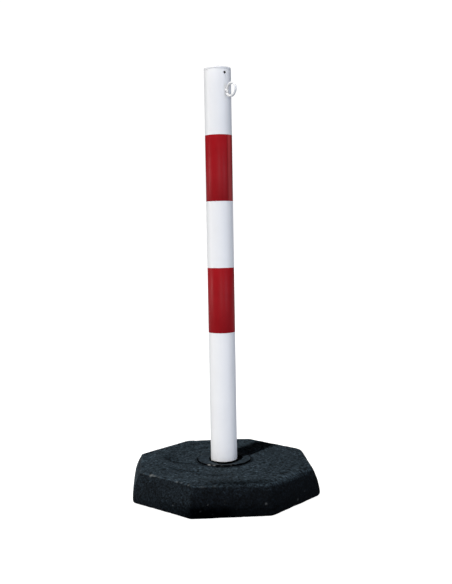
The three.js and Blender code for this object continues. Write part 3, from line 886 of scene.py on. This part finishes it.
def post_tube():
    inner, outer = 27.2, 30.0
    z0, z1 = 13.1, TUBE_TOP
    heights = [z0 + 0.5] + list(np.arange(30.0, 930.0, 20.0)) + [z1 - 0.5]
    profile = [(inner + 0.35, z0)]
    profile += [(outer - 0.45, z0), (outer - 0.12, z0 + 0.14)]
    profile += [(outer, h) for h in heights]
    profile += [(outer - 0.10, z1 - 0.12), (outer - 0.4, z1), (inner + 0.35, z1), (inner, z1 - 0.35)]
    profile += [(inner, h) for h in reversed(heights[1:-1])]
    profile += [(inner, z0 + 0.35)]
    obj = turned("post_tube_shell", profile, 160)
    # an extruded tube is never quite true
    co = np.zeros(len(obj.data.vertices) * 3)
    obj.data.vertices.foreach_get("co", co)
    co = co.reshape(-1, 3)
    wave = noise3(np.stack([co[:, 0] * 20, co[:, 1] * 20, co[:, 2] * 9], -1), 161)
    co[:, :2] *= (1 - 0.0011 * (0.5 + 0.5 * wave))[:, None]
    obj.data.vertices.foreach_set("co", co.reshape(-1))
    tidy(obj, 30)
    cut(obj, drill(EYE_AZ, EYE_Z, 3.4, 0.35))
    cut(obj, drill(PIN_AZ, PIN_Z, PIN_R, 0.42))
    return tidy(obj, 30)


def top_cap():
    under = POST_TOP - 5.0
    rim = []
    for k in range(13):
        t = k / 12
        a, m, b = (1 - t) ** 2, 2 * t * (1 - t), t ** 2
        rim.append((a * 30 + m * 30 + b * 28.4, a * (POST_TOP - 1.7) + m * POST_TOP + b * POST_TOP))
    profile = [(0, under + 1.6), (20, under + 1.6), (23.9, under + 1.6), (24.5, under + 1.9), (24.7, under + 1.0),
               (24.7, under - 10), (24.7, under - 21.6), (25.0, under - 22), (25.9, under - 22), (26.25, under - 21.7),
               (26.75, under - 20.2), (26.9, under - 19.6), (26.9, under - 9), (26.9, under - 0.4), (27.2, under),
               (28.5, under), (29.6, under), (29.88, under + 0.10), (30, under + 0.35)]
    profile += [(r, z) for r, z in rim]
    # the face dips very slightly inside its rim, with a small gate mark
    for r, dip in ((24.5, 0.0), (23.4, 0.10), (22.6, 0.26), (21.8, 0.34), (16, 0.36), (10, 0.37),
                   (4.2, 0.37), (3.4, 0.30), (2.9, 0.12), (2.3, 0.10), (1.6, 0.22), (0, 0.26)):
        profile.append((r, POST_TOP - dip))
    obj = tidy(turned("top_cap_moulding", profile, 160, closed=False), 32)
    cut(obj, drill(PIN_AZ, PIN_Z, PIN_R, 0.0))
    return tidy(obj, 32)


def red_band(name, z0, z1, seam):
    """A strip of film wrapped once round the tube, its end lying over its start."""
    inner, thick, lap = 30.03, 0.20, 7.0
    steps = 184
    total = 360.0 + lap
    t = np.arange(steps + 1) / steps
    ang = np.radians(seam + total * t)
    turn = total * t
    lift = (thick + 0.02) * smooth(360.0 - 3.0, 360.0 - 0.5, turn)
    section = fillet([(0.0, z0, 0.07), (thick, z0, 0.07), (thick, z1, 0.07), (0.0, z1, 0.07)], steps=2)
    rows = []
    for z in section:
        rows.append(np.stack([(inner + z[0] + lift) * np.cos(ang), (inner + z[0] + lift) * np.sin(ang),
                              np.full(steps + 1, z[1])], -1))
    grid = np.transpose(np.array(rows), (1, 0, 2))     # steps along the wrap, section across
    obj = grid_mesh(name, grid * MM, close_rows=False, cap_rows=True)
    return tidy(obj, 50, weld=1e-8)


def foot_plug():
    profile = fillet([
        (0, 10.05, 0), (28.7, 10.05, 0.3), (29.7, 11.0, 0.3), (29.7, 13.0, 0.25), (26.9, 13.0, 0.3), (26.9, 35.0, 0.6),
        (25.9, 37.0, 0.4), (24.5, 37.0, 0.4), (24.5, 13.0, 0.9), (0, 13.0, 0)], closed=False, steps=4)
    return tidy(turned("foot_plug_moulding", profile, 128, closed=False), 32)


finish_piece(post_tube(), "post_tube", "post", WHITE)
finish_piece(top_cap(), "top_cap", "cap", WHITE)
finish_piece(red_band("red_band_lower_film", 361.6, 507.4, 118.0), "red_band_lower", "post", RED)
finish_piece(red_band("red_band_upper_film", 655.6, 801.4, 112.0), "red_band_upper", "post", RED)
finish_piece(write_point_attribute(foot_plug(), lambda p: p[:, 0] * 0), "foot_plug", "foot", BLACK)

# ------------------------------------------------------------------ chain eye


def rounded_section(width, height, r, per_corner=6):
    pts = []
    for cx, cy, start in ((1, -1, -90), (1, 1, 0), (-1, 1, 90), (-1, -1, 180)):
        for k in range(per_corner + 1):
            a = radians(start + 90 * k / per_corner)
            pts.append((cx * (width / 2 - r) + r * math.cos(a), cy * (height / 2 - r) + r * math.sin(a)))
    return np.array(pts)


def chain_eye():
    reach, mid, offset = 47.7, 14.2, 3.0
    start, end = 160.0, 514.0
    steps = 190
    section = rounded_section(5.6, 5.6, 2.79)

    def centre(turn):
        a = np.radians(turn)
        return np.stack([reach + mid * np.cos(a), -offset * np.clip((turn - 180) / 360, 0, 1), -mid * np.sin(a)], -1)

    turns = np.linspace(start, end, steps + 1)
    c = centre(turns)
    tangent = centre(turns + 0.5) - centre(turns - 0.5)
    tangent /= np.linalg.norm(tangent, axis=1, keepdims=True)
    radial = np.stack([np.cos(np.radians(turns)), np.zeros_like(turns), -np.sin(np.radians(turns))], -1)
    radial -= (radial * tangent).sum(1, keepdims=True) * tangent
    radial /= np.linalg.norm(radial, axis=1, keepdims=True)
    axial = np.cross(tangent, radial)
    arc = mid * np.radians(turns - start)
    left = arc[-1] - arc
    # both ends are rounded off
    scale = np.ones_like(turns)
    for run, reach_mm in ((arc, 1.6), (left, 2.4)):
        t = np.clip(run / reach_mm, 0, 1)
        scale *= np.sqrt(np.clip(1 - (1 - t) ** 2, 0.02, 1)) * 0.45 + 0.55 * np.clip(t * 3.0, 0.25, 1) ** 0.5
    pts = (c[:, None, :] + axial[:, None, :] * (section[None, :, 0:1] * scale[:, None, None])
           + radial[:, None, :] * (section[None, :, 1:2] * scale[:, None, None]))
    wire = grid_mesh("wire", pts * MM, close_rows=False, cap_rows=True)
    root = reach - mid
    shank = bar_x("shank", [(12.0, 0), (12.0, 2.5), (12.5, 3.0), (root - 5.0, 3.0), (root - 3.0, 3.35),
                            (root - 1.2, 3.4), (root + 0.8, 3.3), (root + 0.8, 0)], 48)
    bm = bmesh.new()
    for o in (wire, shank):
        bm.from_mesh(o.data)
    mesh = bpy.data.meshes.new("eye")
    bm.to_mesh(mesh)
    bm.free()
    for o in (wire, shank):
        bpy.data.objects.remove(o)
    obj = new_object("chain_eye_moulding", mesh)
    r = obj.modifiers.new("skin", "REMESH")
    r.mode, r.voxel_size, r.use_smooth_shade = "VOXEL", 0.00042, True
    s = obj.modifiers.new("soften", "SMOOTH")
    s.factor, s.iterations = 0.5, 3
    bake(obj)
    place(obj, EYE_AZ, EYE_Z)
    obj.data.shade_smooth()
    return obj


def eye_saddle():
    obj = bar_x("eye_saddle_pad", fillet([
        (22.0, 0, 0), (22.0, 9.0, 0.6), (34.0, 9.0, 0.0), (34.0, 0, 0)], closed=False, steps=5), 72)
    tidy(obj, 30)
    inside = turned("inside", [(0, -20), (26.9, -20), (26.9, 20), (0, 20)], 256, closed=False)
    tidy(inside, 30)
    cut(obj, inside, "INTERSECT")
    hole = bar_x("hole", [(15, 0), (15, 4.2), (22.0, 4.0), (22.8, 3.4), (40, 3.4), (40, 0)], 48)
    tidy(hole, 30)
    cut(obj, hole)
    place(obj, EYE_AZ, EYE_Z)
    return tidy(obj, 30)


def eye_washer():
    prof = fillet([(20.3, 3.4, 0.12), (20.3, 6.0, 0.22), (21.7, 6.0, 0.35), (21.7, 3.4, 0.2)], steps=4)
    prof = np.array(prof) * MM
    a = np.arange(96) * 2 * math.pi / 96
    pts = np.stack([np.repeat(prof[:, 0:1], 96, 1), prof[:, None, 1] * np.cos(a), prof[:, None, 1] * np.sin(a)], -1)
    obj = grid_mesh("eye_washer_plate", pts)
    place(obj, EYE_AZ, EYE_Z)
    return tidy(obj, 35)


def eye_nut():
    segments = 144
    a = np.arange(segments) * 2 * math.pi / segments
    hexagon = 5.0 / np.cos((np.degrees(a) % 60 - 30) * math.pi / 180)
    corner = 5.0 / math.cos(math.pi / 6)
    rows = []

    def ring(x, r):
        rows.append(np.stack([np.full(segments, x), r * np.cos(a), r * np.sin(a)], -1))

    cham = 0.75
    ring(15.0, np.full(segments, 3.75))
    ring(15.0, np.full(segments, 4.72))
    for t in np.linspace(0.12, 1, 7):
        ring(15.0 + cham * t, np.minimum(hexagon, 4.72 + (corner - 4.72) * t))
    for x in (16.4, 17.5, 18.6):
        ring(x, np.minimum(hexagon, corner))
    for t in np.linspace(1, 0.12, 7):
        ring(20.0 - cham * t, np.minimum(hexagon, 4.72 + (corner - 4.72) * t))
    ring(20.0, np.full(segments, 4.72))
    ring(20.0, np.full(segments, 3.75))
    ring(19.55, np.full(segments, 3.32))
    # rounded ridges of the thread in the bore
    for i in range(25):
        x = 19.3 - i * (19.3 - 15.7) / 24
        ring(x, 3.40 + 0.09 * np.cos(2 * math.pi * (x / 0.9) - a))
    ring(15.45, np.full(segments, 3.32))
    obj = grid_mesh("eye_nut_hex", np.array(rows) * MM)
    place(obj, EYE_AZ, EYE_Z)
    return tidy(obj, 24)


finish_piece(chain_eye(), "chain_eye", "eye", EYE_WHITE)
finish_piece(write_point_attribute(eye_saddle(), lambda p: p[:, 0] * 0), "eye_saddle", "post", BLACK)
finish_piece(eye_washer(), "eye_washer", "eye", ZINC)
finish_piece(eye_nut(), "eye_nut", "eye", ZINC)

# ---------------------------------------------------------------- the setting

def stage_material(name, base, glow):
    mat = bpy.data.materials.new(name)
    mat.use_nodes = True
    shader = mat.node_tree.nodes["Principled BSDF"]
    shader.inputs["Base Color"].default_value = (base, base, base, 1)
    shader.inputs["Roughness"].default_value = 0.9
    shader.inputs["Specular IOR Level"].default_value = 0.0
    shader.inputs["Emission Color"].default_value = (1, 1, 1, 1)
    shader.inputs["Emission Strength"].default_value = glow
    return mat


def backdrop(obj, material):
    """Seen by the camera, but throws no light or shade on the object."""
    obj.data.materials.append(material)
    obj.visible_diffuse = obj.visible_glossy = False
    obj.visible_transmission = obj.visible_shadow = False


floor_mesh = bpy.data.meshes.new("floor")
floor_mesh.from_pydata([(-14, -14, 0), (14, -14, 0), (14, 14, 0), (-14, 14, 0)], [], [(0, 1, 2, 3)])
floor = new_object("floor", floor_mesh)
floor.location.z = -0.0004
backdrop(floor, stage_material("floor_white", 0.30, FLOOR_GLOW))

wall_mesh = bpy.data.meshes.new("cyclorama")
bm = bmesh.new()
bmesh.ops.create_icosphere(bm, subdivisions=5, radius=13.0)
bmesh.ops.delete(bm, geom=[v for v in bm.verts if v.co.z < -0.8], context="VERTS")
bm.to_mesh(wall_mesh)
bm.free()
backdrop(new_object("cyclorama", wall_mesh), stage_material("wall_white", 0.0, 1.05))

world = bpy.data.worlds.new("studio")
world.use_nodes = True
tree = world.node_tree
sky = tree.nodes["Background"]
gen = tree.nodes.new("ShaderNodeTexCoord")
sep = tree.nodes.new("ShaderNodeSeparateXYZ")
height_of = tree.nodes.new("ShaderNodeMath")
height_of.operation = "MULTIPLY_ADD"
height_of.inputs[1].default_value = height_of.inputs[2].default_value = 0.5
ramp = tree.nodes.new("ShaderNodeValToRGB")
tree.links.new(gen.outputs["Generated"], sep.inputs[0])
tree.links.new(sep.outputs[2], height_of.inputs[0])
tree.links.new(height_of.outputs[0], ramp.inputs[0])
tree.links.new(ramp.outputs[0], sky.inputs[0])
# white walls and floor give a band of light about the horizon, and little
# comes from straight above or below
for i, (sine, level) in enumerate(SKY):
    e = ramp.color_ramp.elements[i] if i < 2 else ramp.color_ramp.elements.new(0.5)
    e.position = 0.5 + 0.5 * sine
for e, (sine, level) in zip(ramp.color_ramp.elements, SKY):
    e.position = 0.5 + 0.5 * sine
    e.color = (*(v * level / SKY_PEAK for v in SKY_TINT), 1)
sky.inputs[1].default_value = SKY_PEAK
scene.world = world


def sun(name, azimuth, elevation, strength, angle, colour=(1, 1, 1)):
    data = bpy.data.lights.new(name, "SUN")
    data.energy, data.angle, data.color = strength, radians(angle), colour
    obj = bpy.data.objects.new(name, data)
    a, e = radians(azimuth), radians(elevation)
    to_light = Vector((math.cos(a) * math.cos(e), math.sin(a) * math.cos(e), math.sin(e)))
    obj.rotation_euler = to_light.to_track_quat("Z", "Y").to_euler()
    scene.collection.objects.link(obj)
    return obj


LIGHT_TURN = 3.074 - VIEW       # the lights go round with the camera
sun("key", 231.4 + LIGHT_TURN, 66.0, KEY, 2.5, (1.0, 0.975, 0.945))
# low, soft cards to the left, in front and to the right
sun("card_left", 178.0 + LIGHT_TURN, 2.5, 0.92, 20.0, (1.0, 0.995, 0.99))
sun("card_front", 268.0 + LIGHT_TURN, 2.5, 0.76, 20.0, (0.99, 0.99, 1.0))
sun("card_right", 310.0 + LIGHT_TURN, 2.5, 0.70, 20.0, (0.84, 0.94, 1.18))

scene.view_settings.view_transform = "Standard"
scene.view_settings.look = "None"
scene.view_settings.exposure = 0.0
scene.view_settings.gamma = 1.0
